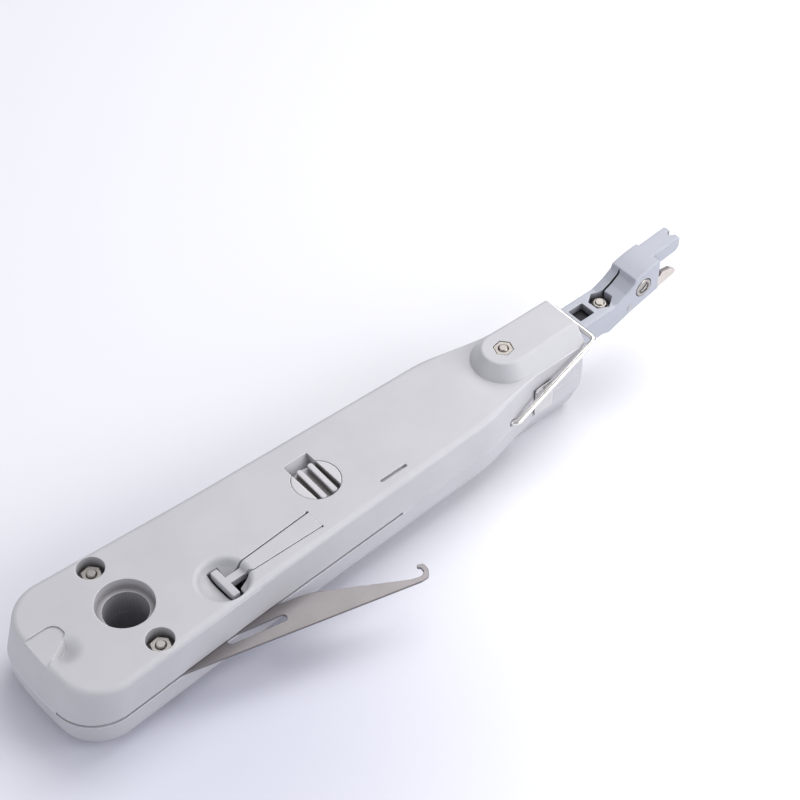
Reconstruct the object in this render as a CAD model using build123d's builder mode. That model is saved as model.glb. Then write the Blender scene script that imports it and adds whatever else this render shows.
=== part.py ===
from build123d import *
import os
from math import atan2, cos, radians, sin

# Punch down tool with a swing-out wire hook and a swing-out module blade, in millimetres.
# Frame: the origin is on the hang hole's axis in the parting plane of the two shells.
# +X runs forward to the head, +Z is up through the face with the nuts, +Y is the far side.

# ---- handle outline in the parting plane ----
shell_half = 8.8          # parting plane to the flat top or bottom face
rear_x = -23.1            # rear end on the centre line
front_x = 120.0           # front face
rear_corner = (-22.0, 17.3)
waist = (26.0, 14.6)
shoulder = (88.0, 12.3)
throat = (104.0, 8.75)
front_half = 8.3
wall = 2.7
skin = 2.2                # thickness of the flat top and bottom walls
crease_x = 91.0           # forward of this the top and bottom faces fall away
front_fall = 1.3          # how far they have fallen at the front face
round_z = -4.2            # the lower shell's side turns in below this height
round_inset = 4.4         # how far in its rounded bottom edge reaches
round_steps = 6
side_draft = 0.35
parting_bevel = 0.14      # bevel of both shells along the parting line

# ---- bosses over the front screw ----
boss_x = 102.1            # centre of each boss's round rear end, and the front screw's axis
boss_foot_r = 8.0
boss_top_r = 4.9
top_boss_z = 12.3
bottom_boss_z = -13.2

# ---- hang hole and screws ----
hang_r = 4.82
hang_counter_r = 6.2
hang_counter_depth = 2.5
sleeve_r = 7.6
rear_screw_y = 11.67
post_r = 4.0
screw_r = 1.1
screw_hole_r = 1.25
nut_pocket_r = 3.0
nut_pocket_depth = 3.6
head_pocket_r = 2.6
head_pocket_depth = 2.6
small_nut_r = 2.3         # corner radius of the hex nuts
nut_height = 1.7

# ---- hook ----
plate_half = 0.3          # half the thickness of the hook and of the module blade
slot_half = 0.42          # half the height of the side slots they swing in
hook_eye_r = 3.75
hook_rest = -14.9         # direction of the hook blade at rest, in degrees from +X
hook_slot_front = 61.5

# ---- module blade and its hub ----
hub_x = 49.1
hub_r = 5.32
hub_clearance = 0.1
channel_half = 3.2
channel_depth = 1.9
rib_offset = 1.45
rib_width = 1.35
blade_length = 36.0
blade_width = 6.0
blade_stow = 166.0        # direction of the module blade when it is stowed
journal_r = 2.5
journal_z = -6.6

# ---- release tab ----
dish_x, dish_y = 18.5, -8.0
dish_r = 6.3              # outside of the dish's rounded lip
dish_depth = 3.1
tab_root_x = 42.15
bar_x0, bar_x1 = 17.95, 19.7
bar_y0, bar_y1 = -11.9, -4.0
bar_top = shell_half - 1.5
tab_skin = 2.0            # thickness of the tongue

# ---- thumb step at the rear edge ----
step_depth = 0.3
step_y = 5.3              # far edge of the step
step_front = -13.0
step_corner_y = 1.75      # where its slanting near edge meets the rounded front
step_slope = 0.634        # how steeply that edge slants back to the near side
dip_x, dip_y = -15.8, -1.4
dip_r = 4.3
dip_depth = 1.5

# ---- ram and spring ----
ram_half = 3.9
ram_z0, ram_z1 = 0.5, 6.1
ram_rear, ram_front = 78.0, 112.0
stroke = 6.0
slide_gap = 0.25
spring_z = 3.3
spring_r = 2.7            # outside radius of the main spring
spring_wire = 0.7
spring_seat_x = 58.5
guide_r = 1.5

# ---- head ----
shank_rear = 112.05
shank_top = 7.55
tongue_front = 134.0
tongue_y0, tongue_y1 = -1.5, 3.2
tongue_z0, tongue_z1 = 2.2, 4.6
square_x, square_length, square_width = 126.2, 4.3, 4.1
peg_top = 5.7
head_nut_x = 132.1
lip_x, lip_z = 139.4, 11.9           # rear edge of the block over the ramp
block_front, block_top = 147.2, 13.2
fork_front, fork_top = 155.8, 13.9
fork_y0, fork_y1 = -1.55, 3.15
slit_y, slit_width = 1.3, 0.55
slit_rear, slit_front, slit_floor = 134.35, 139.4, 1.6
nut_turn = 32.5           # turn of the head's nut and of its pocket, in degrees
pivot_x, pivot_z = 142.1, 8.0
blade_y0, blade_y1 = -2.9, -0.6      # slot of the two cutter blades
cutter_y0, cutter_y1 = -2.8, -1.8    # moving blade
fixed_y0, fixed_y1 = -1.7, -0.7      # fixed blade

# ---- wire latch and lock ----
latch_x, latch_y, latch_z = 95.6, -11.45, 1.5
bend_x, bend_y, bend_z = 122.0, -8.6, 8.32
wire_r = 0.68
wire_end_y = 4.5          # where the wire's cross arm ends
lock_x0, lock_x1 = 104.2, 106.7      # the lock's legs in the side windows
lock_z0, lock_z1 = -2.9, 4.0
lock_travel = 1.5
cap_x0, cap_x1 = 103.2, 109.2        # the caps that cover the windows
cap_z0, cap_z1 = -3.4, 4.6
cap_gap = 0.06
cap_out = 9.25            # outside face of the caps

os.makedirs("parts", exist_ok=True)


def finish(builder, name):
    """Labels a finished sub-part and writes its STEP file."""
    builder.part.label = name
    export_step(builder.part, f"parts/{name}.step")


def outline(inset=0.0, rear_inset=0.0):
    """The handle's plan outline as a closed line, pulled in from the parting line."""
    side = [
        (rear_corner[0] + rear_inset, rear_corner[1] - inset),
        (waist[0], waist[1] - inset),
        (shoulder[0], shoulder[1] - inset),
        (throat[0], throat[1] - inset),
        (front_x, front_half - inset),
    ]
    far = list(reversed(side))
    near = [(x, -y) for x, y in side]
    radii = [10.0 - inset, 250.0, 25.0, 22.0, 1.5]
    FilletPolyline(
        (rear_x + rear_inset, 0), *near, *far,
        radius=[80.0] + radii + list(reversed(radii)), close=True,
    )


def outline_face(height, inset=0.0, rear_inset=0.0):
    """The plan outline as a section at a height, ready to loft."""
    with BuildSketch(Plane.XY.offset(height)) as section:
        with BuildLine():
            outline(inset, rear_inset)
        make_face()
    return section.sketch


def boss_face(height, radius, front_width, front):
    """A U-shaped boss section: round at the rear about the front screw, open to the front."""
    with BuildSketch(Plane.XY.offset(height)) as section:
        with BuildLine():
            ThreePointArc((boss_x, radius), (boss_x - radius, 0), (boss_x, -radius))
            Polyline((boss_x, -radius), (front, -front_width), (front, front_width), (boss_x, radius))
        make_face()
    return section.sketch


def fall_plane(sign):
    """The plane of the top or bottom face forward of the crease."""
    angle = atan2(front_fall, front_x - crease_x)
    return Plane(
        (crease_x, 0, sign * shell_half),
        x_dir=(cos(angle), 0, -sign * sin(angle)),
        z_dir=(sin(angle), 0, sign * cos(angle)),
    )


def swing_room(sign):
    """The slots that the hook and the module blade swing in, on one side of the parting plane."""
    with BuildPart(mode=Mode.PRIVATE) as room:
        with BuildSketch(Plane.XY):
            with BuildLine():
                Polyline(
                    (-27, -20), (hook_slot_front, -20), (hook_slot_front, -10.4), (54, -7.2),
                    (30, -5.9), (-12, -5.9), (-20, -7.0), (-27, -7.0), close=True,
                )
            make_face()
            Circle(sleeve_r + 0.1, mode=Mode.SUBTRACT)
            with BuildLine():
                Polyline(
                    (11.5, 20), (59.5, 20), (59.5, 11.0), (hub_x + 5.2, 0), (hub_x + 5.2, -5.2),
                    (hub_x - 5.2, -5.2), (12.5, 3.0), close=True,
                )
            make_face()
        extrude(amount=sign * slot_half)
    return room.part


def wall_openings(sign):
    """Windows for the lock's legs in both side walls, and the wire latch's hole in the near one."""
    window_x0 = lock_x0 - 0.3
    window_x1 = lock_x1 + lock_travel + 0.3
    with BuildPart(mode=Mode.PRIVATE) as tool:
        with BuildSketch(Plane.XZ):
            with Locations(((window_x0 + window_x1) / 2, (lock_z0 + lock_z1) / 2)):
                Rectangle(window_x1 - window_x0, lock_z1 - lock_z0 + 0.4)
        extrude(amount=30, both=True)
        with BuildSketch(Plane.XZ):
            with Locations((latch_x, latch_z)):
                Circle(wire_r + 0.2)
        extrude(amount=30)
        Box(400, 2 * 6.1, 60, mode=Mode.SUBTRACT)
        with Locations((0, 0, -sign * 15)):
            Box(400, 80, 30, mode=Mode.SUBTRACT)
    return tool.part


def bores(sign):
    """Everything bored along Z through one shell: hang hole, screw holes and their pockets."""
    boss_z = top_boss_z if sign > 0 else -bottom_boss_z
    with BuildPart(mode=Mode.PRIVATE) as tool:
        with BuildSketch(Plane.XY):
            Circle(hang_r)
            with Locations((0, rear_screw_y), (0, -rear_screw_y), (boss_x, 0)):
                Circle(screw_hole_r)
        extrude(amount=sign * boss_z)
        with BuildSketch(Plane.XY.offset(sign * (shell_half - hang_counter_depth))):
            Circle(hang_counter_r)
        extrude(amount=sign * 6)
    return tool.part


def parting_groove(sign):
    """What one shell loses along the parting line, so that the joint reads as a fine V groove."""
    with BuildPart(mode=Mode.PRIVATE) as groove:
        Box(200, 60, 4 * parting_bevel)
        with Locations((100, 0, 0)):
            Box(200, 60, 4 * parting_bevel)
        loft(
            [
                outline_face(0, parting_bevel, parting_bevel),
                outline_face(sign * 2 * parting_bevel, -parting_bevel, -parting_bevel),
            ],
            ruled=True, mode=Mode.SUBTRACT,
        )
        with Locations((0, 0, -sign * 4 * parting_bevel)):
            Box(600, 60, 8 * parting_bevel, mode=Mode.SUBTRACT)
    return groove.part


def bowl(x, y, radius, depth, shoulder):
    """A round bowl sunk in the top face, whose wall turns out into a soft lip."""
    with BuildPart(mode=Mode.PRIVATE) as hollow:
        with BuildSketch(Plane((x, y, shell_half), x_dir=(1, 0, 0), z_dir=(0, -1, 0))):
            with BuildLine():
                Spline(
                    (0, -depth), (shoulder * radius, -0.48 * depth), (radius, 0),
                    tangents=[(1, 0), (1, 0)],
                )
                Polyline((radius, 0), (radius, 3), (0, 3), (0, -depth))
            make_face()
        revolve(axis=Axis((x, y, 0), (0, 0, 1)))
    return hollow.part


def dish_bowl():
    """The dish of the release tab."""
    return bowl(dish_x, dish_y, dish_r, dish_depth, 0.78)


def thumb_dip():
    """A shallow round dip beside the thumb step, cut off by the step's slanting bank."""
    corner = (step_front, step_corner_y, shell_half - step_depth)
    along = Vector(1, step_slope, 0).normalized()
    with BuildPart(mode=Mode.PRIVATE) as dip:
        add(bowl(dip_x, dip_y, dip_r, dip_depth, 0.5))
        with BuildSketch(Plane(corner, x_dir=(-along.Y, along.X, 0), z_dir=along)):
            with BuildLine():
                Polyline((0, 0.02), (20, 0.02), (20, -4), (-3.4, -4), close=True)
            make_face()
        extrude(amount=30, both=True, mode=Mode.SUBTRACT)
    return dip.part


# ---- upper shell: tab dish, hub bore, nut pockets, thumb ramp ----
with BuildPart() as upper_shell:
    loft([outline_face(0), outline_face(shell_half, 0.7, 2.3)], ruled=True)
    fillet(upper_shell.faces().sort_by(Axis.Z)[-1].edges(), 1.3)
    with BuildSketch(fall_plane(1)):
        Rectangle(80, 60, align=(Align.MIN, Align.CENTER))
    extrude(amount=10, mode=Mode.SUBTRACT)
    boss_foot = boss_face(shell_half - front_fall, boss_foot_r, front_half - 0.6, front_x - 0.1)
    boss_crown = boss_face(top_boss_z, boss_top_r, boss_top_r - 0.3, front_x - 0.3)
    loft([boss_foot, boss_crown], ruled=True)
    fillet(upper_shell.faces().sort_by(Axis.Z)[-1].edges(), 0.7)
    # Hollow it from below, and leave the sleeve, posts, guides and front block standing.
    with BuildSketch(Plane.XY):
        with BuildLine():
            outline(wall, wall + 2.0)
        make_face()
        with Locations((front_x + 16, 0)):
            Rectangle(40, 40, mode=Mode.SUBTRACT)
        Circle(sleeve_r, mode=Mode.SUBTRACT)
        with Locations((0, rear_screw_y), (0, -rear_screw_y)):
            Circle(post_r, mode=Mode.SUBTRACT)
        with Locations((76, 5.0), (76, -5.0)):
            Rectangle(38, 1.5, mode=Mode.SUBTRACT)
        with Locations((spring_seat_x - 2.0, 0)):
            Rectangle(2.0, 11.5, mode=Mode.SUBTRACT)
        with Locations((107, 0)):
            Rectangle(26, 11.8, mode=Mode.SUBTRACT)
        with Locations((hub_x, 0)):
            Circle(hub_r + 1.6, mode=Mode.SUBTRACT)
    extrude(amount=shell_half - skin, mode=Mode.SUBTRACT)
    # Round pad of thicker skin under the dish.
    pad_r = 6.6
    pad_z = 4.2
    with BuildSketch(Plane.XY.offset(pad_z)):
        with Locations((dish_x, pad_r - 13.8)):
            Circle(pad_r)
    extrude(amount=shell_half - skin - pad_z)
    # Channels for the ram and for the taller shank of the head.
    with BuildSketch(Plane.XY):
        with Locations((front_x + 1, 0)):
            Rectangle(
                front_x + 1 - spring_seat_x + 1, 2 * (ram_half + slide_gap),
                align=(Align.MAX, Align.CENTER),
            )
    extrude(amount=ram_z1 + slide_gap, mode=Mode.SUBTRACT)
    with BuildSketch(Plane.XY):
        with Locations((front_x + 1, 0)):
            Rectangle(
                front_x + 1 - shank_rear + stroke + 0.6, 2 * (ram_half + slide_gap),
                align=(Align.MAX, Align.CENTER),
            )
    extrude(amount=shank_top + slide_gap, mode=Mode.SUBTRACT)
    with BuildSketch(Plane.YZ.offset(spring_seat_x - 4)):
        with Locations((0, spring_z)):
            Circle(guide_r + 0.15)
    extrude(amount=5, mode=Mode.SUBTRACT)
    add(bores(1), mode=Mode.SUBTRACT)
    with BuildSketch(Plane.XY.offset(shell_half - nut_pocket_depth)):
        with Locations((0, rear_screw_y), (0, -rear_screw_y)):
            Circle(nut_pocket_r)
    extrude(amount=6, mode=Mode.SUBTRACT)
    with BuildSketch(Plane.XY.offset(top_boss_z - nut_height - 0.1)):
        with Locations((boss_x, 0)):
            RegularPolygon(small_nut_r + 0.08, 6, rotation=10)
    extrude(amount=6, mode=Mode.SUBTRACT)
    # Hub bore and the finger notch beside it, with its sloping far wall.
    with BuildSketch(Plane.XY):
        with Locations((hub_x, 0)):
            Circle(hub_r + hub_clearance)
    extrude(amount=shell_half, mode=Mode.SUBTRACT)
    with BuildSketch(Plane.YZ.offset(hub_x - channel_half)):
        with BuildLine():
            Polyline((2.5, 5.2), (5.4, 5.2), (7.2, shell_half), (8.0, 12), (2.5, 12), close=True)
        make_face()
    extrude(amount=2 * channel_half, mode=Mode.SUBTRACT)
    # Dish of the release tab and the narrow opening round its T bar and tongue.
    add(dish_bowl(), mode=Mode.SUBTRACT)
    with BuildSketch(Plane.XY.offset(3)):
        with BuildLine():
            FilletPolyline(
                (bar_x0 - 0.55, bar_y0 - 0.4), (bar_x0 - 0.55, bar_y1 + 0.45),
                (bar_x1 + 0.45, bar_y1 + 0.45), (bar_x1 + 0.6, -6.3), (22.6, -6.25),
                (24.4, -6.47), (tab_root_x, -5.47), (tab_root_x, -10.59), (24.5, -10.21),
                (23.3, -9.9), (21.9, -10.05), (20.8, -10.4), (bar_x1 + 0.6, bar_y0 - 0.4),
                radius=0.15, close=True,
            )
        make_face()
        with Locations((tab_root_x - 0.1, -5.6), (tab_root_x - 0.1, -10.46)):
            Circle(0.32)
    extrude(amount=7, mode=Mode.SUBTRACT)
    # Locating groove, and the thumb step at the rear edge with a dip beside it.
    with BuildSketch(Plane.XY.offset(shell_half - 0.8)):
        with Locations((62.45, -9.2)):
            SlotOverall(7.3, 0.85)
    extrude(amount=3, mode=Mode.SUBTRACT)
    step_rear = rear_x - 3
    with BuildSketch(Plane.XY.offset(shell_half - step_depth)):
        with BuildLine():
            FilletPolyline(
                (step_rear, step_y), (step_front - 0.2, step_y), (step_front, step_corner_y),
                (step_rear, step_corner_y + step_slope * (step_rear - step_front)),
                radius=[0, 2.4, 1.0, 0], close=True,
            )
        make_face()
    extrude(amount=3, mode=Mode.SUBTRACT)
    add(thumb_dip(), mode=Mode.SUBTRACT)
    add(swing_room(1), mode=Mode.SUBTRACT)
    add(wall_openings(1), mode=Mode.SUBTRACT)
    add(parting_groove(1), mode=Mode.SUBTRACT)
finish(upper_shell, "upper_shell")

# ---- lower shell: its bottom edges are rounded far more than the top ones ----
with BuildPart() as lower_shell:
    turns = [radians(90 * step / round_steps) for step in range(round_steps + 1)]
    side = [outline_face(0), outline_face(round_z, side_draft, side_draft)]
    curve = [
        outline_face(
            round_z - (shell_half + round_z) * sin(turn),
            side_draft + round_inset * (1 - cos(turn)),
            side_draft + (round_inset + 0.8) * (1 - cos(turn)),
        )
        for turn in turns
    ]
    loft(side, ruled=True)
    loft(curve, ruled=True)
    with BuildSketch(fall_plane(-1)):
        Rectangle(80, 60, align=(Align.MIN, Align.CENTER))
    extrude(amount=10, mode=Mode.SUBTRACT)
    boss_foot = boss_face(-5.5, 7.2, 7.2, front_x - 0.1)
    boss_crown = boss_face(bottom_boss_z, boss_top_r, boss_top_r - 0.3, front_x - 1.0)
    loft([boss_foot, boss_crown], ruled=True)
    fillet(lower_shell.faces().sort_by(Axis.Z)[0].edges(), 0.7)
    with BuildSketch(Plane.XY):
        with BuildLine():
            outline(wall + 0.3, wall + 2.0)
        make_face()
        with Locations((front_x + 16, 0)):
            Rectangle(40, 40, mode=Mode.SUBTRACT)
        Circle(sleeve_r, mode=Mode.SUBTRACT)
        with Locations((0, rear_screw_y), (0, -rear_screw_y)):
            Circle(post_r, mode=Mode.SUBTRACT)
        with Locations((76, 0)):
            Rectangle(2.0, 40, mode=Mode.SUBTRACT)
        with Locations((107, 0)):
            Rectangle(26, 11.8, mode=Mode.SUBTRACT)
        with Locations((hub_x, 0)):
            Circle(hub_r, mode=Mode.SUBTRACT)
    extrude(amount=-(shell_half - skin), mode=Mode.SUBTRACT)
    # Journal of the hub, cross channel of the lock slide and socket of the cutter link.
    with BuildSketch(Plane.XY):
        with Locations((hub_x, 0)):
            Circle(journal_r + 0.05)
    extrude(amount=journal_z, mode=Mode.SUBTRACT)
    with BuildSketch(Plane.XY):
        with Locations(((lock_x0 + lock_x1 + lock_travel) / 2, 0)):
            Rectangle(lock_x1 - lock_x0 + lock_travel + 0.6, 12.6)
    extrude(amount=lock_z0 - 0.2, mode=Mode.SUBTRACT)
    with BuildSketch(Plane.XY):
        with Locations((98.0, (cutter_y0 + cutter_y1) / 2)):
            Rectangle(2.0, cutter_y1 - cutter_y0)
    extrude(amount=-2.4, mode=Mode.SUBTRACT)
    with BuildSketch(Plane.XY):
        with Locations((0, -rear_screw_y)):
            Circle(3.1)
    extrude(amount=-3.4, mode=Mode.SUBTRACT)
    add(bores(-1), mode=Mode.SUBTRACT)
    with BuildSketch(Plane.XY.offset(-(shell_half - head_pocket_depth))):
        with Locations((0, rear_screw_y), (0, -rear_screw_y)):
            Circle(head_pocket_r)
    extrude(amount=-6, mode=Mode.SUBTRACT)
    with BuildSketch(Plane.XY.offset(bottom_boss_z + head_pocket_depth)):
        with Locations((boss_x, 0)):
            Circle(head_pocket_r)
    extrude(amount=-6, mode=Mode.SUBTRACT)
    add(swing_room(-1), mode=Mode.SUBTRACT)
    add(wall_openings(-1), mode=Mode.SUBTRACT)
    add(parting_groove(-1), mode=Mode.SUBTRACT)
finish(lower_shell, "lower_shell")

def pan_screws(spots, bottom, top, head_r, head_height):
    """Pan-head screws standing on their heads, one separate solid at each spot."""
    with BuildPart(mode=Mode.PRIVATE) as screws:
        with BuildSketch(Plane.XY.offset(bottom)):
            with Locations(*spots):
                Circle(head_r)
        extrude(amount=head_height)
        with BuildSketch(Plane.XY.offset(bottom)):
            with Locations(*spots):
                Circle(screw_r)
        extrude(amount=top - bottom)
        ends = screws.faces().filter_by(Axis.Z).group_by(Axis.Z)
        chamfer(ends[-1].edges(), 0.25)
        fillet(ends[0].edges(), 0.35)
        with BuildSketch(Plane.XY.offset(bottom)):
            with Locations(*spots):
                Rectangle(2 * head_r - 1.2, 0.7)
                Rectangle(0.7, 2 * head_r - 1.2)
        extrude(amount=0.7, mode=Mode.SUBTRACT)
    return screws.part


def hex_nuts(spots, bottom, height, turn):
    """Hex nuts with a chamfered bore, one separate solid at each spot."""
    with BuildPart(mode=Mode.PRIVATE) as nuts:
        with BuildSketch(Plane.XY.offset(bottom)):
            with Locations(*spots):
                RegularPolygon(small_nut_r, 6, rotation=turn)
                Circle(screw_r, mode=Mode.SUBTRACT)
        extrude(amount=height)
        top = nuts.faces().filter_by(Axis.Z).group_by(Axis.Z)[-1]
        chamfer(top.edges().filter_by(GeomType.CIRCLE), 0.15)
        chamfer(top.edges().filter_by(GeomType.LINE), 0.12)
    return nuts.part


def coil(mean_r, wire, pitch, length, start, direction):
    """A round-wire coil that starts at a point and runs along a direction."""
    with BuildPart(mode=Mode.PRIVATE) as spring:
        with BuildLine():
            turns = Helix(pitch, length, mean_r, center=start, direction=direction)
        with BuildSketch(Plane(turns @ 0, z_dir=turns % 0)):
            Circle(wire / 2)
        sweep(is_frenet=True)
    return spring.part


# ---- fasteners of the shells ----
rear_spots = [(0, rear_screw_y), (0, -rear_screw_y)]
nut_floor = shell_half - nut_pocket_depth
head_height = 1.5

with BuildPart() as rear_screws:
    rear_head_z = -shell_half + head_pocket_depth - head_height
    add(pan_screws(rear_spots, rear_head_z, nut_floor + nut_height + 0.5, 2.2, head_height))
finish(rear_screws, "rear_screws")

with BuildPart() as rear_nuts:
    add(hex_nuts(rear_spots, nut_floor, nut_height, 12))
finish(rear_nuts, "rear_nuts")

with BuildPart() as front_screw:
    front_head_z = bottom_boss_z + head_pocket_depth - head_height
    add(pan_screws([(boss_x, 0)], front_head_z, top_boss_z + 0.2, 2.2, head_height))
finish(front_screw, "front_screw")

with BuildPart() as front_nut:
    add(hex_nuts([(boss_x, 0)], top_boss_z - nut_height - 0.1, nut_height, 10))
finish(front_nut, "front_nut")

# ---- wire hook: a stamped blade with a curled tip, on the near rear screw ----
hook_pivot = Plane((0, -rear_screw_y, -plate_half)).rotated((0, 0, hook_rest))
with BuildPart() as wire_hook:
    with BuildSketch(hook_pivot):
        Circle(hook_eye_r)
        with BuildLine():
            FilletPolyline(
                (0, -hook_eye_r), (55.2, -3.75), (57.2, -3.3), (57.95, -1.5), (57.7, 0.3),
                (56.2, 0.5), (55.95, -0.25), (56.65, -0.5), (56.8, -1.6), (56.1, -2.45),
                (54.0, -2.5), (33.2, hook_eye_r), (0, hook_eye_r),
                radius=[0, 2, 1, 1.2, 0.7, 0.3, 0.3, 0.4, 0.6, 0.8, 8, 14, 0], close=True,
            )
        make_face()
        with Locations((20.2, -0.1)):
            SlotCenterToCenter(11.4, 1.9, rotation=2.5, mode=Mode.SUBTRACT)
        Circle(1.6, mode=Mode.SUBTRACT)
    extrude(amount=2 * plate_half)
    faces = wire_hook.faces().filter_by(Axis.Z)
    chamfer(faces.edges().filter_by(GeomType.CIRCLE).filter_by(lambda e: e.radius > 1.7), 0.08)
finish(wire_hook, "wire_hook")

with BuildPart() as hook_bush:
    with BuildSketch(Plane.XY.offset(-slot_half)):
        with Locations((0, -rear_screw_y)):
            Circle(1.57)
            Circle(screw_r + 0.02, mode=Mode.SUBTRACT)
    extrude(amount=2 * slot_half)
finish(hook_bush, "hook_bush")

with BuildPart() as hook_spring:
    add(coil(2.2, 0.6, 0.75, 1.5, (0, -rear_screw_y, -2.8), (0, 0, 1)))
finish(hook_spring, "hook_spring")

# ---- module blade, its hub and washer ----
blade_pivot = Plane((hub_x, 0, -plate_half)).rotated((0, 0, blade_stow))
drive_r = 2.6             # corner radius of the hub's square drive
with BuildPart() as module_blade:
    with BuildSketch(blade_pivot):
        with BuildLine():
            FilletPolyline(
                (0, -blade_width / 2), (blade_length - 6, -blade_width / 2),
                (blade_length, 0.4), (blade_length, blade_width / 2), (0, blade_width / 2),
                radius=[0, 4, 0.6, 1.2, 0], close=True,
            )
        make_face()
        Circle(4.9)
        RegularPolygon(drive_r, 4, mode=Mode.SUBTRACT)
    extrude(amount=2 * plate_half)
finish(module_blade, "module_blade")

with BuildPart() as blade_hub:
    with BuildSketch(Plane.XY.offset(plate_half)):
        with Locations((hub_x, 0)):
            Circle(hub_r)
    extrude(amount=shell_half - plate_half)
    fillet(blade_hub.faces().sort_by(Axis.Z)[-1].edges(), 0.25)
    with BuildSketch(Plane.XY.offset(shell_half - channel_depth)):
        with Locations((hub_x, 0)):
            Rectangle(2 * channel_half, 4 * hub_r)
    extrude(amount=5, mode=Mode.SUBTRACT)
    with BuildSketch(Plane.XY.offset(shell_half - channel_depth)):
        with Locations((hub_x + 0.2 - rib_offset, 0), (hub_x + 0.2 + rib_offset, 0)):
            SlotOverall(2 * hub_r - 1.1, rib_width, rotation=87.5)
    extrude(amount=channel_depth - 0.35)
    rib_tops = blade_hub.faces().filter_by(Axis.Z).filter_by_position(
        Axis.Z, shell_half - 0.4, shell_half - 0.3
    )
    fillet(rib_tops.edges(), 0.25)
    with BuildSketch(blade_pivot):
        RegularPolygon(drive_r - 0.02, 4)
    extrude(amount=2 * plate_half)
    with BuildSketch(Plane.XY.offset(-plate_half)):
        with Locations((hub_x, 0)):
            Circle(journal_r)
    extrude(amount=journal_z + plate_half + 0.2)
finish(blade_hub, "blade_hub")

with BuildPart() as blade_washer:
    with BuildSketch(Plane.XY.offset(-slot_half)):
        with Locations((hub_x, 0)):
            Circle(4.5)
            Circle(journal_r + 0.05, mode=Mode.SUBTRACT)
    extrude(amount=slot_half - plate_half)
finish(blade_washer, "blade_washer")

# ---- release tab: a tongue on a living hinge, with a T bar in the dish ----
tongue_under = shell_half - tab_skin
root_gap = 0.02
with BuildPart() as release_tab:
    with BuildSketch(Plane.XY.offset(tongue_under)):
        with BuildLine():
            Polyline(
                (tab_root_x - root_gap, -5.83), (24.4, -6.83), (22.9, -6.9), (22.9, -8.8),
                (23.9, -9.0), (24.5, -9.95), (tab_root_x - root_gap, -10.33), close=True,
            )
        make_face()
    extrude(amount=tab_skin)
    add(dish_bowl(), mode=Mode.SUBTRACT)
    with BuildSketch(Plane.XY.offset(bar_top - 1.9)):
        with Locations(((bar_x0 + bar_x1) / 2, (bar_y0 + bar_y1) / 2)):
            RectangleRounded(bar_x1 - bar_x0, bar_y1 - bar_y0, 0.35)
        with BuildLine():
            Polyline((19.0, -7.05), (23.8, -6.9), (23.8, -8.8), (19.0, -8.7), close=True)
        make_face()
    extrude(amount=1.9)
    bar_top_face = release_tab.faces().filter_by(Axis.Z).filter_by_position(
        Axis.Z, bar_top - 0.01, bar_top + 0.01
    )
    fillet(bar_top_face.edges().filter_by_position(Axis.X, rear_x, bar_x1 + 0.05), 0.22)
    # The striker that pushes the hook's eye down when the tab is pressed.
    with BuildSketch(Plane.XY.offset(2.4)):
        with Locations((29.5, -8.0)):
            Rectangle(2.4, 2.6)
    extrude(amount=tongue_under - 2.4)
    # Relief under the hinge line, so that the tongue can dip.
    with BuildSketch(Plane.XZ):
        with BuildLine():
            Polyline(
                (tab_root_x, shell_half - 0.25), (tab_root_x, 3), (tab_root_x - 0.5, 3),
                (tab_root_x - 0.25, shell_half - 0.25), close=True,
            )
        make_face()
    extrude(amount=20, mode=Mode.SUBTRACT)
finish(release_tab, "release_tab")

# ---- ram, guide rod and main spring ----
groove_rear = 96.7
link_y = (cutter_y0 + cutter_y1) / 2
link_width = cutter_y1 - cutter_y0
with BuildPart() as ram_bar:
    with BuildSketch(Plane.XY.offset(ram_z0)):
        with Locations(((ram_rear + ram_front) / 2, 0)):
            Rectangle(ram_front - ram_rear, 2 * ram_half)
    extrude(amount=ram_z1 - ram_z0)
    with BuildSketch(Plane.XY.offset(tongue_z0)):
        with Locations(((ram_front + tongue_front) / 2, (tongue_y0 + tongue_y1) / 2)):
            Rectangle(tongue_front - ram_front, tongue_y1 - tongue_y0)
    extrude(amount=tongue_z1 - tongue_z0)
    # Square peg that carries the head's blows, a snug fit in the head's square window.
    with BuildSketch(Plane.XY.offset(tongue_z0)):
        with Locations((square_x, 0)):
            RectangleRounded(square_length - 0.04, square_width - 0.04, 0.3)
    extrude(amount=peg_top - tongue_z0)
    with BuildSketch(Plane.XY):
        with Locations((boss_x + stroke / 2, 0)):
            SlotCenterToCenter(stroke + 0.3, 2 * screw_r + 0.3)
        with Locations((head_nut_x, 0)):
            Circle(screw_r)
    extrude(amount=10, mode=Mode.SUBTRACT)
    with BuildSketch(Plane.XY):
        with Locations(((groove_rear + ram_front) / 2, link_y)):
            Rectangle(ram_front - groove_rear, link_width + 0.3)
    extrude(amount=ram_z0 + 2.0, mode=Mode.SUBTRACT)
finish(ram_bar, "ram_bar")

guide_rear = 62.0
with BuildPart() as spring_guide:
    with BuildSketch(Plane.YZ.offset(guide_rear)):
        with Locations((0, spring_z)):
            Circle(guide_r)
    extrude(amount=ram_rear - guide_rear)
finish(spring_guide, "spring_guide")

with BuildPart() as spring_seat:
    with BuildSketch(Plane.YZ.offset(spring_seat_x - 1.0)):
        with Locations((0, spring_z)):
            Circle(spring_r)
            Circle(guide_r + 0.2, mode=Mode.SUBTRACT)
    extrude(amount=1.0)
finish(spring_seat, "spring_seat")

with BuildPart() as main_spring:
    spring_start = (spring_seat_x + spring_wire / 2 + 0.1, 0, spring_z)
    spring_length = ram_rear - spring_seat_x - spring_wire - 0.2
    add(coil(spring_r - spring_wire / 2, spring_wire, 2.35, spring_length, spring_start, (1, 0, 0)))
finish(main_spring, "main_spring")

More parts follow.
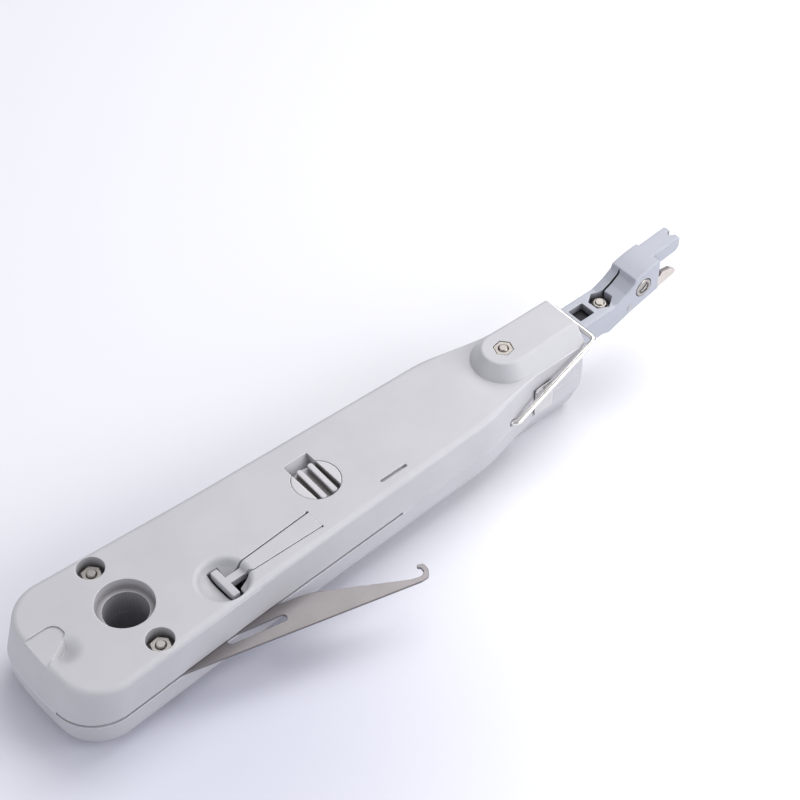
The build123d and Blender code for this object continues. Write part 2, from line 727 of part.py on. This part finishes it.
# ---- head: shank, ramp, block and fork in one moulding ----
head_nut_z = 4.8
eyelet_r = 2.25           # head of the cutter's pivot screw
rivet_x, rivet_z, rivet_r = 138.2, 4.0, 0.95
with BuildPart() as head_nose:
    with BuildSketch(Plane.XZ.offset(-ram_half)):
        with BuildLine():
            FilletPolyline(
                (shank_rear, 0.9), (130.0, 0.9), (131.8, 0.2), (138.4, 2.4), (block_front, 4.5),
                (block_front, block_top), (lip_x + 4.0, block_top - 0.3), (lip_x, lip_z),
                (lip_x - 0.5, lip_z - 1.3), (136.6, 9.0), (133.2, shank_top),
                (shank_rear, shank_top),
                radius=[0.3, 1, 1, 3, 0.3, 0.5, 22, 0.35, 0.5, 2, 2, 0.3], close=True,
            )
        make_face()
    extrude(amount=2 * ram_half)
    crown_edges = head_nose.edges().filter_by(
        lambda e: lip_x - 0.1 < e.center().X < block_front + 0.1
        and e.center().Z > 8
        and abs(e.center().Y) > ram_half - 0.1
    )
    fillet(crown_edges, 0.4)
    # Fork with a notched tip.
    with BuildSketch(Plane.XZ.offset(-fork_y0)):
        with BuildLine():
            FilletPolyline(
                (block_front - 2, 9.0), (block_front + 3, 9.3), (fork_front - 0.9, 9.8),
                (fork_front, 10.9), (fork_front, fork_top - 0.6), (fork_front - 0.7, fork_top),
                (block_front, block_top), (block_front - 2, block_top - 0.2),
                radius=[0, 1, 0.6, 0.3, 0.3, 0.4, 1, 0], close=True,
            )
        make_face()
    extrude(amount=fork_y0 - fork_y1)
    with BuildSketch(Plane.XY.offset(8)):
        with Locations((fork_front + 0.3, (fork_y0 + fork_y1) / 2)):
            SlotCenterToCenter(2.0, 1.6)
    extrude(amount=7, mode=Mode.SUBTRACT)
    prongs = head_nose.edges().filter_by_position(Axis.X, fork_front - 0.05, fork_front + 0.05)
    fillet(prongs.filter_by(Axis.Z), 0.35)
    # Square window, nut pocket, screw bore, slit, and the pocket of the ram's tongue.
    with BuildSketch(Plane.XY):
        with Locations((square_x, 0)):
            RectangleRounded(square_length, square_width, 0.3)
        with Locations((head_nut_x, 0)):
            Circle(screw_r + 0.02)
    extrude(amount=10, mode=Mode.SUBTRACT)
    with BuildSketch(Plane.XY.offset(head_nut_z)):
        with Locations((head_nut_x, 0)):
            RegularPolygon(2.85, 6, rotation=nut_turn)
    extrude(amount=8, mode=Mode.SUBTRACT)
    with BuildSketch(Plane.XY.offset(1.8)):
        with Locations((head_nut_x, 0)):
            Circle(2.3)
    extrude(amount=-3, mode=Mode.SUBTRACT)
    with BuildSketch(Plane.XY.offset(slit_floor)):
        with Locations(((slit_rear + slit_front) / 2, slit_y)):
            Rectangle(slit_front - slit_rear, slit_width)
    extrude(amount=20, mode=Mode.SUBTRACT)
    with BuildSketch(Plane.XY.offset(tongue_z0 - 0.02)):
        with Locations((shank_rear - 1, (tongue_y0 + tongue_y1) / 2)):
            Rectangle(
                tongue_front - shank_rear + 1.1, tongue_y1 - tongue_y0 + 0.04,
                align=(Align.MIN, Align.CENTER),
            )
    extrude(amount=tongue_z1 - tongue_z0 + 0.04, mode=Mode.SUBTRACT)
    # Slot of the cutter blades, and the groove that the cutter link runs in.
    with BuildSketch(Plane.XZ.offset(-blade_y1)):
        with BuildLine():
            Polyline(
                (134.4, -1), (134.4, 5.0), (137.2, 7.6), (139.4, 9.4), (140.2, 10.8),
                (block_front + 1, 10.8), (block_front + 1, -1), close=True,
            )
        make_face()
    extrude(amount=blade_y1 - blade_y0, mode=Mode.SUBTRACT)
    with BuildSketch(Plane.XY):
        with Locations((123.0, link_y)):
            Rectangle(26, link_width + 0.3)
    extrude(amount=2.5, mode=Mode.SUBTRACT)
    # Cutter pivot bore between its two recesses, and the rivet's bore.
    with BuildSketch(Plane.XZ.offset(ram_half)):
        with Locations((pivot_x, pivot_z)):
            Circle(eyelet_r + 0.2)
    extrude(amount=-0.65, mode=Mode.SUBTRACT)
    with BuildSketch(Plane.XZ.offset(-ram_half)):
        with Locations((pivot_x, pivot_z)):
            Circle(2.6)
    extrude(amount=1.6, mode=Mode.SUBTRACT)
    with BuildSketch(Plane.XZ):
        with Locations((pivot_x, pivot_z)):
            Circle(1.25)
        with Locations((rivet_x, rivet_z)):
            Circle(rivet_r)
    extrude(amount=20, both=True, mode=Mode.SUBTRACT)
finish(head_nose, "head_nose")

with BuildPart() as head_screw:
    with BuildSketch(Plane.XY.offset(0.5)):
        with Locations((head_nut_x, 0)):
            Circle(2.0)
    extrude(amount=1.3)
    with BuildSketch(Plane.XY.offset(0.5)):
        with Locations((head_nut_x, 0)):
            Circle(screw_r)
    extrude(amount=6.6)
    chamfer(head_screw.faces().sort_by(Axis.Z)[-1].edges(), 0.2)
    with BuildSketch(Plane.XY.offset(0.5)):
        with Locations((head_nut_x, 0)):
            Rectangle(3.2, 0.6)
    extrude(amount=0.6, mode=Mode.SUBTRACT)
finish(head_screw, "head_screw")

with BuildPart() as head_nut:
    add(hex_nuts([(head_nut_x, 0)], head_nut_z, 1.0, nut_turn))
    with BuildSketch(Plane.XY.offset(head_nut_z + 0.9)):
        with Locations((head_nut_x, 0)):
            Circle(1.75)
            Circle(screw_r, mode=Mode.SUBTRACT)
    extrude(amount=1.1)
    collar_rim = head_nut.faces().sort_by(Axis.Z)[-1].edges().sort_by(SortBy.RADIUS)[-1]
    fillet(collar_rim, 0.45)
finish(head_nut, "head_nut")

# ---- cutter: two blades side by side on one slotted screw ----
with BuildPart() as moving_cutter:
    with BuildSketch(Plane.XZ.offset(-cutter_y1)):
        with BuildLine():
            FilletPolyline(
                (137.4, 6.3), (141.4, 4.75), (147.3, 3.2), (153.4, 4.5), (154.0, 5.5),
                (152.0, 7.1), (149.2, 7.5), (148.7, 6.5), (146.9, 6.9), (144.6, 10.0),
                (140.6, 9.8), (137.3, 7.15),
                radius=[0.4, 2, 4, 0.25, 0.25, 1.2, 0.3, 0.3, 0.6, 1.5, 1.5, 0.4], close=True,
            )
        make_face()
        with Locations((pivot_x, pivot_z)):
            Circle(1.3, mode=Mode.SUBTRACT)
    extrude(amount=cutter_y1 - cutter_y0)
finish(moving_cutter, "moving_cutter")

with BuildPart() as fixed_cutter:
    with BuildSketch(Plane.XZ.offset(-fixed_y1)):
        with BuildLine():
            FilletPolyline(
                (136.8, 3.2), (139.0, 2.9), (144.5, 5.2), (147.8, 6.6), (147.6, 7.6),
                (144.6, 10.0), (140.6, 9.8), (136.8, 6.6),
                radius=[0.4, 1, 2, 0.3, 0.3, 1.5, 1.5, 0.4], close=True,
            )
        make_face()
        with Locations((pivot_x, pivot_z)):
            Circle(1.25, mode=Mode.SUBTRACT)
        with Locations((rivet_x, rivet_z)):
            Circle(rivet_r, mode=Mode.SUBTRACT)
    extrude(amount=fixed_y1 - fixed_y0)
finish(fixed_cutter, "fixed_cutter")

with BuildPart() as cutter_screw:
    with BuildSketch(Plane.XZ.offset(ram_half - 0.65)):
        with Locations((pivot_x, pivot_z)):
            Circle(eyelet_r)
    extrude(amount=0.8)
    fillet(cutter_screw.faces().sort_by(Axis.Y)[0].edges(), 0.25)
    with BuildSketch(Plane.XZ.offset(ram_half - 0.2)):
        with Locations((pivot_x, pivot_z)):
            Circle(eyelet_r - 0.75)
    extrude(amount=1, mode=Mode.SUBTRACT)
    with BuildSketch(Plane.XZ.offset(ram_half)):
        with Locations((pivot_x, pivot_z)):
            Circle(1.25)
    extrude(amount=-2 * ram_half + 0.1)
    with BuildSketch(Plane.XZ.offset(ram_half - 0.4)):
        with Locations((pivot_x, pivot_z)):
            Rectangle(2 * eyelet_r - 1.5, 0.5, rotation=35)
    extrude(amount=3, mode=Mode.SUBTRACT)
finish(cutter_screw, "cutter_screw")

with BuildPart() as cutter_nut:
    with BuildSketch(Plane.XZ.offset(-ram_half + 1.6)):
        with Locations((pivot_x, pivot_z)):
            RegularPolygon(small_nut_r, 6)
            Circle(1.25, mode=Mode.SUBTRACT)
    extrude(amount=-1.4)
finish(cutter_nut, "cutter_nut")

with BuildPart() as cutter_rivet:
    with BuildSketch(Plane.XZ.offset(ram_half + 0.12)):
        with Locations((rivet_x, rivet_z)):
            Circle(rivet_r)
    extrude(amount=-2 * ram_half - 0.24)
    fillet(cutter_rivet.faces().filter_by(Axis.Y).edges(), 0.1)
finish(cutter_rivet, "cutter_rivet")

# Link that stays with the handle and drives the cutter as the head slides back.
link_front = 124.6
with BuildPart() as cutter_link:
    with BuildSketch(Plane.XZ.offset(-cutter_y1)):
        with BuildLine():
            Polyline(
                (97.0, -2.4), (99.0, -2.4), (99.0, 1.0), (link_front, 1.0), (link_front, 2.2),
                (97.0, 2.2), close=True,
            )
        make_face()
    extrude(amount=link_width)
finish(cutter_link, "cutter_link")

# ---- wire latch: one arm along the near side, its ends turned in through the wall and
# ---- across the front of the bosses, over the shank of the head ----
latch_end_y = -8.2
arm_rise = (bend_z - latch_z) / (bend_x - latch_x)
arm_reach = ((bend_x - latch_x) ** 2 + (bend_z - latch_z) ** 2) ** 0.5
latch_plane = Plane(
    (latch_x, 0, latch_z), x_dir=(1, 0, arm_rise), z_dir=(-arm_rise, 0, 1),
)
with BuildPart() as wire_latch:
    with BuildLine(latch_plane):
        FilletPolyline(
            (0, latch_end_y), (0, latch_y), (arm_reach, bend_y), (arm_reach, wire_end_y),
            radius=1.3,
        )
    with BuildSketch(Plane((latch_x, latch_end_y, latch_z), z_dir=(0, -1, 0))):
        Circle(wire_r)
    sweep()
finish(wire_latch, "wire_latch")

# ---- lock slide: a cross bar under the ram, a leg in each window and a cap on each leg ----
with BuildPart() as lock_slider:
    leg_x = (lock_x0 + lock_x1) / 2
    with BuildSketch(Plane.XZ.offset(-cap_out + 0.3)):
        with Locations(((cap_x0 + cap_x1) / 2, (cap_z0 + cap_z1) / 2)):
            RectangleRounded(cap_x1 - cap_x0, cap_z1 - cap_z0, 0.5)
    extrude(amount=2 * (cap_out - 0.3))
    # A raised block and a bar on each cap give the finger something to push.
    with BuildSketch(Plane.XZ.offset(-cap_out)):
        with Locations((cap_x0 + 1.6, cap_z1 - 1.5)):
            RectangleRounded(2.2, 2.4, 0.3)
        with Locations((cap_x1 - 1.7, cap_z1 - 0.9)):
            RectangleRounded(2.4, 0.9, 0.3)
    extrude(amount=2 * cap_out)
    outer = lock_slider.faces().filter_by(Axis.Y).group_by(Axis.Y)
    chamfer(outer[0].edges() + outer[-1].edges(), 0.15)
    with BuildSketch(Plane.XY.offset(-20)):
        with BuildLine():
            outline(-cap_gap)
        make_face()
    extrude(amount=40, mode=Mode.SUBTRACT)
    with BuildSketch(Plane.XZ.offset(-cap_out + 0.5)):
        with Locations((leg_x, (lock_z0 + lock_z1) / 2)):
            Rectangle(lock_x1 - lock_x0, lock_z1 - lock_z0)
    extrude(amount=2 * (cap_out - 0.5))
    Box(400, 2 * 6.3, 60, mode=Mode.SUBTRACT)
    with BuildSketch(Plane.XY.offset(lock_z0)):
        with Locations((leg_x, 0)):
            Rectangle(lock_x1 - lock_x0, 2 * 6.4)
    extrude(amount=-0.5 - lock_z0)
finish(lock_slider, "lock_slider")
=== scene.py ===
"""Punch down tool on a pale studio floor.

Lengths are in millimetres in this script, and MM turns them into metres where Blender takes them.
"""
from math import cos, radians, sin

import bmesh
import bpy
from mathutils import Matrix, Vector


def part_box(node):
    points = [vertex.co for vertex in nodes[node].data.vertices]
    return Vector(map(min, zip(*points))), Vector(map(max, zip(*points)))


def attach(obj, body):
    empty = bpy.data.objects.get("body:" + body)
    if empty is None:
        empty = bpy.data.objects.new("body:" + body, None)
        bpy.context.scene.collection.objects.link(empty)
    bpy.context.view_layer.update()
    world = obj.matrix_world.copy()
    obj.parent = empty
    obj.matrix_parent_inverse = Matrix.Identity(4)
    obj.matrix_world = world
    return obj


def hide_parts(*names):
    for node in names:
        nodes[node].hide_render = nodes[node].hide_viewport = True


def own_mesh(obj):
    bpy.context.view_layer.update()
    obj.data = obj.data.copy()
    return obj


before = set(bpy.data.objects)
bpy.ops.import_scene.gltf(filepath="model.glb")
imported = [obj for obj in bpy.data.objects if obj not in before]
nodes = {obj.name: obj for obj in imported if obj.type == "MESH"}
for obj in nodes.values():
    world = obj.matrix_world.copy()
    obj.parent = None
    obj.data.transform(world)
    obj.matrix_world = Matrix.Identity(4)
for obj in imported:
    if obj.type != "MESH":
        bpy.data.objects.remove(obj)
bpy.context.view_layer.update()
MM = 0.001


# ---------------------------------------------------------------- camera
def add_camera(aim, azimuth, elevation, distance, lens):
    """A camera that looks at aim; azimuth is the direction it stands in, from +X."""
    level = cos(radians(elevation))
    back = Vector((
        level * cos(radians(azimuth)),
        level * sin(radians(azimuth)),
        sin(radians(elevation)),
    ))
    data = bpy.data.cameras.new("camera")
    data.lens = lens
    data.sensor_width = 36.0
    data.clip_start = 10 * MM
    camera = bpy.data.objects.new("camera", data)
    bpy.context.collection.objects.link(camera)
    camera.location = (Vector(aim) + back * distance) * MM
    camera.rotation_euler = back.to_track_quat("Z", "Y").to_euler()
    bpy.context.scene.camera = camera


add_camera(aim=(60.43, -13.55, 36.14), azimuth=-131.06, elevation=47.16, distance=423.2, lens=96.26)


# ---------------------------------------------------------------- materials
SHADER_RAYS = 6               # for the rounded edges and for the recesses
EDGE_TURN = (0.985, 0.88)     # cosine from the flat to the rounded normal: no edge, full edge
OPENNESS = (0.9, 0.3)         # how open the surroundings are: no recess, full recess

# The colour sockets of a Mix node go by number, because its other sockets share their names.
MIX_FIRST, MIX_SECOND, MIX_RESULT = 6, 7, 2


def set_stops(ramp, stops):
    """Sets the two stops of a colour ramp node: each is (position, colour)."""
    for element, (position, colour) in zip(ramp.color_ramp.elements, stops):
        element.position = position
        element.color = (*colour, 1)


class Shader:
    """Builds one node material with few words."""

    def __init__(self, name):
        self.material = bpy.data.materials.new(name)
        self.material.use_nodes = True
        self.tree = self.material.node_tree
        self.base = self.tree.nodes["Principled BSDF"]
        self.coordinates = self.tree.nodes.new("ShaderNodeTexCoord").outputs["Object"]

    def link(self, output, socket):
        """Joins an output to a socket of the Principled shader, given by name, or of a node."""
        target = self.base.inputs[socket] if isinstance(socket, str) else socket
        self.tree.links.new(output, target)

    def stretched(self, stretch, turn=0.0):
        """Object coordinates turned about Z and scaled per axis, so a texture can be drawn out."""
        mapping = self.tree.nodes.new("ShaderNodeMapping")
        mapping.inputs["Scale"].default_value = stretch
        mapping.inputs["Rotation"].default_value = (0, 0, turn)
        self.link(self.coordinates, mapping.inputs["Vector"])
        return mapping.outputs["Vector"]

    def noise(self, scale, detail, roughness=0.6, stretch=(1, 1, 1), turn=0.0):
        """Noise with about scale features in a metre."""
        texture = self.tree.nodes.new("ShaderNodeTexNoise")
        texture.inputs["Scale"].default_value = scale
        texture.inputs["Detail"].default_value = detail
        texture.inputs["Roughness"].default_value = roughness
        self.link(self.stretched(stretch, turn), texture.inputs["Vector"])
        return texture.outputs["Fac"]

    def ramp(self, value, *stops):
        """A colour ramp with two stops."""
        ramp = self.tree.nodes.new("ShaderNodeValToRGB")
        set_stops(ramp, stops)
        self.link(value, ramp.inputs["Fac"])
        return ramp.outputs["Color"]

    def span(self, value, low, high):
        """Maps 0..1 to low..high."""
        span = self.tree.nodes.new("ShaderNodeMapRange")
        span.inputs["To Min"].default_value = low
        span.inputs["To Max"].default_value = high
        self.link(value, span.inputs["Value"])
        return span.outputs["Result"]

    def smooth(self, value, start, end):
        """0 up to start and 1 past end, with a smooth step between; start may be the larger."""
        step = self.tree.nodes.new("ShaderNodeMapRange")
        step.interpolation_type = "SMOOTHSTEP"
        step.inputs["From Min"].default_value = start
        step.inputs["From Max"].default_value = end
        self.link(value, step.inputs["Value"])
        return step.outputs["Result"]

    def mix(self, factor, first, second, blend="MIX"):
        """Mixes two colours; second is an output or a constant."""
        node = self.tree.nodes.new("ShaderNodeMix")
        node.data_type = "RGBA"
        node.blend_type = blend
        self.link(factor, node.inputs["Factor"])
        self.link(first, node.inputs[MIX_FIRST])
        if isinstance(second, bpy.types.NodeSocket):
            self.link(second, node.inputs[MIX_SECOND])
        else:
            node.inputs[MIX_SECOND].default_value = (*second, 1)
        return node.outputs[MIX_RESULT]

    def vector_math(self, operation, first, second=None):
        """One vector operation that gives a number; second is an output, a constant or nothing."""
        node = self.tree.nodes.new("ShaderNodeVectorMath")
        node.operation = operation
        self.link(first, node.inputs[0])
        if isinstance(second, bpy.types.NodeSocket):
            self.link(second, node.inputs[1])
        elif second is not None:
            node.inputs[1].default_value = second
        return node.outputs["Value"]

    def bump(self, height, strength, depth, normal=None):
        """Raises the surface by up to depth millimetres, over a normal that is already bent."""
        bump = self.tree.nodes.new("ShaderNodeBump")
        bump.inputs["Strength"].default_value = strength
        bump.inputs["Distance"].default_value = depth * MM
        self.link(height, bump.inputs["Height"])
        if normal:
            self.link(normal, bump.inputs["Normal"])
        return bump.outputs["Normal"]

    def soft_edges(self, radius):
        """Rounds the shading of sharp edges, as moulding and wear do."""
        bevel = self.tree.nodes.new("ShaderNodeBevel")
        bevel.samples = SHADER_RAYS
        bevel.inputs["Radius"].default_value = radius * MM
        return bevel.outputs["Normal"]

    def edge_amount(self, rounded):
        """1 along a sharp edge, 0 on a flat face."""
        flat = self.tree.nodes.new("ShaderNodeNewGeometry").outputs["Normal"]
        return self.smooth(self.vector_math("DOT_PRODUCT", rounded, flat), *EDGE_TURN)

    def recess_amount(self, reach):
        """Towards 1 deep in a pocket or groove of the piece itself, 0 on an open face."""
        occlusion = self.tree.nodes.new("ShaderNodeAmbientOcclusion")
        occlusion.samples = SHADER_RAYS
        occlusion.only_local = True
        occlusion.inputs["Distance"].default_value = reach * MM
        return self.smooth(occlusion.outputs["AO"], *OPENNESS)

    def distance(self, point):
        """How far the surface is from a point given in millimetres, in metres."""
        return self.vector_math("DISTANCE", self.coordinates, Vector(point) * MM)


def tint(colour, factor):
    """A colour made lighter or darker."""
    return tuple(min(1.0, part * factor) for part in colour)


MOTTLE_SCALE = 90                       # clouds of tone in plastic, per metre
MOTTLE_TINTS = (0.965, 1.03)            # the darkest and the lightest of them
PLASTIC_EDGE = 0.32                     # radius of a moulded edge
EDGE_PAINTED_HIGHLIGHT = 1.6                        # how much lighter the painted highlight along an edge is
PLASTIC_SHEEN = (-0.05, 0.08)           # how far its roughness strays
SUBSURFACE_RADIUS = (1.2, 1.0, 0.8)
RECESS_REACH = 4.5
RECESS_PAINTED_SHADE = (0.34, 0.31, 0.30)       # painted shade in pockets and grooves
UNSHADED_GROOVE = (62.45, -9.2, 8.4)       # the locating groove in the top face
UNSHADED_GROOVE_REACH = (4.0 * MM, 4.6 * MM)      # how far from its middle the painted shade begins and is full
BORE_PAINTED_RADII = (4.88 * MM, 4.72 * MM)      # radii where the painted shade on the hang hole's wall begins and is full
# colour that multiplies the hang hole's wall, as painted shade
BORE_PAINTED_SHADE = (0.12, 0.12, 0.125)


def moulded(name, colour, roughness, grain=2600, grain_depth=0.012, handle=False):
    """Moulded plastic with a fine grain, faint mottling, a painted highlight along its edges and
    painted shade in its recesses.

    The handle's own plastic also has painted shade on the hang hole's wall, and no painted shade in
    the locating groove.
    """
    shader = Shader(name)
    dark, light = (tint(colour, factor) for factor in MOTTLE_TINTS)
    plain = shader.ramp(shader.noise(MOTTLE_SCALE, detail=3), (0.3, dark), (0.7, light))
    rounded = shader.soft_edges(PLASTIC_EDGE)
    # painted highlight along the sharp edges
    painted_edges = shader.mix(shader.edge_amount(rounded), plain, tint(colour, EDGE_PAINTED_HIGHLIGHT))
    # painted shade in the piece's own pockets and grooves
    tone = shader.mix(shader.recess_amount(RECESS_REACH), painted_edges, RECESS_PAINTED_SHADE, "MULTIPLY")
    if handle:
        # the locating groove keeps the painted edges but gets no painted shade
        tone = shader.mix(shader.smooth(shader.distance(UNSHADED_GROOVE), *UNSHADED_GROOVE_REACH), painted_edges, tone)
        # painted shade on the hang hole's wall
        from_axis = shader.vector_math("LENGTH", shader.stretched((1, 1, 0)))
        tone = shader.mix(shader.smooth(from_axis, *BORE_PAINTED_RADII), tone, BORE_PAINTED_SHADE, "MULTIPLY")
    shader.link(tone, "Base Color")
    grains = shader.noise(grain, detail=2)
    smoothest, roughest = (roughness + stray for stray in PLASTIC_SHEEN)
    shader.link(shader.span(grains, smoothest, roughest), "Roughness")
    shader.link(shader.bump(grains, 0.35, grain_depth, rounded), "Normal")
    shader.base.inputs["IOR"].default_value = 1.5
    shader.base.inputs["Subsurface Weight"].default_value = 0.03
    shader.base.inputs["Subsurface Radius"].default_value = Vector(SUBSURFACE_RADIUS) * MM
    return shader.material


METAL_EDGE = 0.08                       # radius of a deburred edge
LINE_TINTS = (-0.16, 0.08)              # how much darker and lighter the brush lines are
HAZE_SCALE = 150                        # patches of polish, per metre
METAL_SHEEN = (-0.06, 0.1)              # how far the roughness strays between them


def metal(name, colour, roughness, scale, stretch=(1, 1, 1), turn=0.0, depth=0.006, contrast=1.0):
    """Metal with a fine grain, or with brush lines along the axis that stretch draws out."""
    shader = Shader(name)
    lines = shader.noise(scale, detail=5, roughness=0.65, stretch=stretch, turn=turn)
    haze = shader.noise(HAZE_SCALE, detail=3)
    dark, light = (tint(colour, 1 + change * contrast) for change in LINE_TINTS)
    shader.link(shader.ramp(lines, (0.25, dark), (0.75, light)), "Base Color")
    smoothest, roughest = (roughness + stray for stray in METAL_SHEEN)
    shader.link(shader.span(haze, smoothest, roughest), "Roughness")
    shader.link(shader.bump(lines, 0.5, depth, shader.soft_edges(METAL_EDGE)), "Normal")
    shader.base.inputs["Metallic"].default_value = 1.0
    return shader.material


HOOK_ANGLE = 14.9             # degrees that the wire hook stands out from the handle
ALONG_X = (0.1, 1, 1)         # draws brush lines out along X

handle_plastic = moulded("handle_plastic", (0.453, 0.45, 0.48), roughness=0.45, handle=True)
hub_plastic = moulded("hub_plastic", (0.50, 0.495, 0.52), roughness=0.4)
head_plastic = moulded(
    "head_plastic", (0.37, 0.385, 0.44), roughness=0.4, grain=3500, grain_depth=0.006,
)
lock_plastic = moulded("lock_plastic", (0.52, 0.515, 0.53), roughness=0.35)
hook_steel = metal(
    "hook_steel", (0.215, 0.202, 0.206), roughness=0.4, scale=5200, stretch=(0.08, 1, 1),
    turn=radians(HOOK_ANGLE), depth=0.002, contrast=0.35,
)
cutter_steel = metal("cutter_steel", (0.66, 0.61, 0.57), roughness=0.3, scale=2600, stretch=ALONG_X)
nickel = metal("nickel", (0.42, 0.40, 0.38), roughness=0.27, scale=2400, contrast=0.6)
dull_nickel = metal("dull_nickel", (0.27, 0.25, 0.235), roughness=0.33, scale=2400, contrast=1.2)
rivet_steel = metal("rivet_steel", (0.52, 0.52, 0.54), roughness=0.5, scale=2400)
latch_steel = metal(
    "latch_steel", (0.86, 0.84, 0.81), roughness=0.13, scale=1800, stretch=ALONG_X, depth=0.001,
)
# near black on the ram bar, as painted shade in the square hole above it
shade_black_steel = metal("shade_black_steel", (0.035, 0.035, 0.038), roughness=0.5, scale=1800)
spring_steel = metal("spring_steel", (0.55, 0.55, 0.56), roughness=0.3, scale=900)

LOOKS = {
    handle_plastic: ["upper_shell", "lower_shell", "release_tab"],
    hub_plastic: ["blade_hub"],
    head_plastic: ["head_nose"],
    shade_black_steel: ["ram_bar"],
    lock_plastic: ["lock_slider"],
    hook_steel: ["wire_hook", "module_blade"],
    cutter_steel: ["moving_cutter", "fixed_cutter", "cutter_link"],
    rivet_steel: ["cutter_rivet"],
    nickel: [
        "rear_screws", "rear_nuts", "cutter_screw", "cutter_nut",
        "hook_bush", "blade_washer", "spring_seat", "spring_guide",
    ],
    dull_nickel: ["front_screw", "front_nut", "head_screw", "head_nut"],
    latch_steel: ["wire_latch"],
    spring_steel: ["main_spring", "hook_spring"],
}
for look, names in LOOKS.items():
    for name in names:
        mesh = nodes[name].data
        mesh.materials.clear()
        mesh.materials.append(look)


# ---------------------------------------------------------------- main spring
SPRING_WIRE = 0.7
SPRING_PITCH = 2.35
TURN_POINTS = 28


def coil_mesh(start, length, radius, axis_z):
    """A coil of round wire along X, from start on, as a mesh."""
    turns = length / SPRING_PITCH
    steps = int(turns * TURN_POINTS)
    curve = bpy.data.curves.new("spring_line", "CURVE")
    curve.dimensions = "3D"
    curve.bevel_depth = SPRING_WIRE / 2 * MM
    curve.bevel_resolution = 5
    curve.use_fill_caps = True
    line = curve.splines.new("POLY")
    line.points.add(steps)
    for index, point in enumerate(line.points):
        share = index / steps
        angle = radians(360 * turns * share)
        place = Vector((start + length * share, radius * cos(angle), axis_z + radius * sin(angle)))
        point.co = (*place * MM, 1)
    line_object = bpy.data.objects.new("spring_line", curve)
    mesh = bpy.data.meshes.new_from_object(line_object)
    bpy.data.objects.remove(line_object)
    return mesh


def add_main_spring():
    """The main spring as a round-wire coil in place of the CAD spring, carried with the ram."""
    low, high = (Vector(corner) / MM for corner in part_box("main_spring"))
    free_length = high.x - low.x
    axis_z = (low.z + high.z) / 2
    mesh = coil_mesh(
        start=low.x + SPRING_WIRE / 2, length=free_length - SPRING_WIRE,
        radius=(high.y - low.y - SPRING_WIRE) / 2, axis_z=axis_z,
    )
    mesh.materials.clear()
    mesh.materials.append(spring_steel)
    mesh.shade_smooth()
    spring = bpy.data.objects.new("spring_coil", mesh)
    bpy.context.collection.objects.link(spring)
    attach(spring, "ram")
    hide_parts("main_spring")
    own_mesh(spring)


add_main_spring()


# ---------------------------------------------------------------- floor and light
REST_HEEL = (-19.0, -8.7)     # x and z of the rear bottom edge, which touches the floor
REST_BOSS = (97.0, -13.2)     # x and z of the lower boss's rear edge, which does too
FLOOR_HALF = 1600             # half the floor's side
PAINTED_SHADOW_SPOT = (22, -24, 0)       # middle of the painted shadow, from the heel
PAINTED_SHADOW_REACH = 95
PAINTED_SHADOW_PAPER = (0.56, 0.565, 0.655)
PAPER = (0.755, 0.755, 0.80)


def floor_tilt():
    """The turn about Y, in radians, that lays the floor under both places the tool rests on.

    It is the slope between them, which is small enough to stand for its angle.
    """
    run = REST_BOSS[0] - REST_HEEL[0]
    drop = REST_HEEL[1] - REST_BOSS[1]
    return drop / run


def add_floor():
    """Pale paper, with a painted shadow beside the handle's near rear corner, away from the light.
    """
    grid = bmesh.new()
    bmesh.ops.create_grid(grid, x_segments=8, y_segments=8, size=FLOOR_HALF * MM)
    mesh = bpy.data.meshes.new("floor")
    grid.to_mesh(mesh)
    grid.free()
    floor = bpy.data.objects.new("floor", mesh)
    bpy.context.collection.objects.link(floor)
    floor.location = Vector((REST_HEEL[0], 0, REST_HEEL[1])) * MM
    floor.rotation_euler = (0, floor_tilt(), 0)
    shader = Shader("floor_paper")
    # painted shadow: the paper is darker near the handle's near rear corner
    out_of_painted_shadow = shader.smooth(shader.distance(PAINTED_SHADOW_SPOT), 0.0, PAINTED_SHADOW_REACH * MM)
    shader.link(shader.ramp(out_of_painted_shadow, (0.0, PAINTED_SHADOW_PAPER), (1.0, PAPER)), "Base Color")
    shader.link(shader.bump(shader.noise(2200, detail=2), 0.25, 0.01), "Normal")
    shader.base.inputs["Roughness"].default_value = 0.55
    mesh.materials.append(shader.material)


def add_light(name, place, size, power, colour, aim=(55, 0, 0)):
    """A square softbox of a power in watts, which faces the middle of the handle unless aimed."""
    data = bpy.data.lights.new(name, "AREA")
    data.size = size * MM
    data.energy = power
    data.color = colour
    light = bpy.data.objects.new(name, data)
    bpy.context.collection.objects.link(light)
    light.location = Vector(place) * MM
    light.rotation_euler = (Vector(place) - Vector(aim)).to_track_quat("Z", "Y").to_euler()


def add_studio(level, low, high, high_at):
    """A studio that brightens from the floor up to high_at of the way overhead."""
    world = bpy.data.worlds.new("studio")
    bpy.context.scene.world = world
    world.use_nodes = True
    tree = world.node_tree
    sky = tree.nodes["Background"]
    direction = tree.nodes.new("ShaderNodeTexCoord").outputs["Generated"]
    split = tree.nodes.new("ShaderNodeSeparateXYZ")
    tree.links.new(direction, split.inputs["Vector"])
    ramp = tree.nodes.new("ShaderNodeValToRGB")
    set_stops(ramp, ((0.0, low), (high_at, high)))
    tree.links.new(split.outputs["Z"], ramp.inputs["Fac"])
    tree.links.new(ramp.outputs["Color"], sky.inputs["Color"])
    sky.inputs["Strength"].default_value = level


add_floor()
add_light("key", (430, 115, 560), size=480, power=3.12, colour=(1.0, 0.995, 0.99))
add_light("fill", (200, -620, 330), size=520, power=1.25, colour=(0.97, 0.98, 1.0))
add_light(
    "front", (300, -270, 150), size=200, power=0.75, colour=(1.0, 0.99, 0.98), aim=(110, 0, 0),
)
add_light("side", (-560, 40, 240), size=420, power=1.3, colour=(0.98, 0.98, 1.0))
add_studio(0.55, low=(0.35, 0.36, 0.41), high=(0.97, 0.98, 1.0), high_at=0.75)
bpy.context.scene.view_settings.view_transform = "Standard"
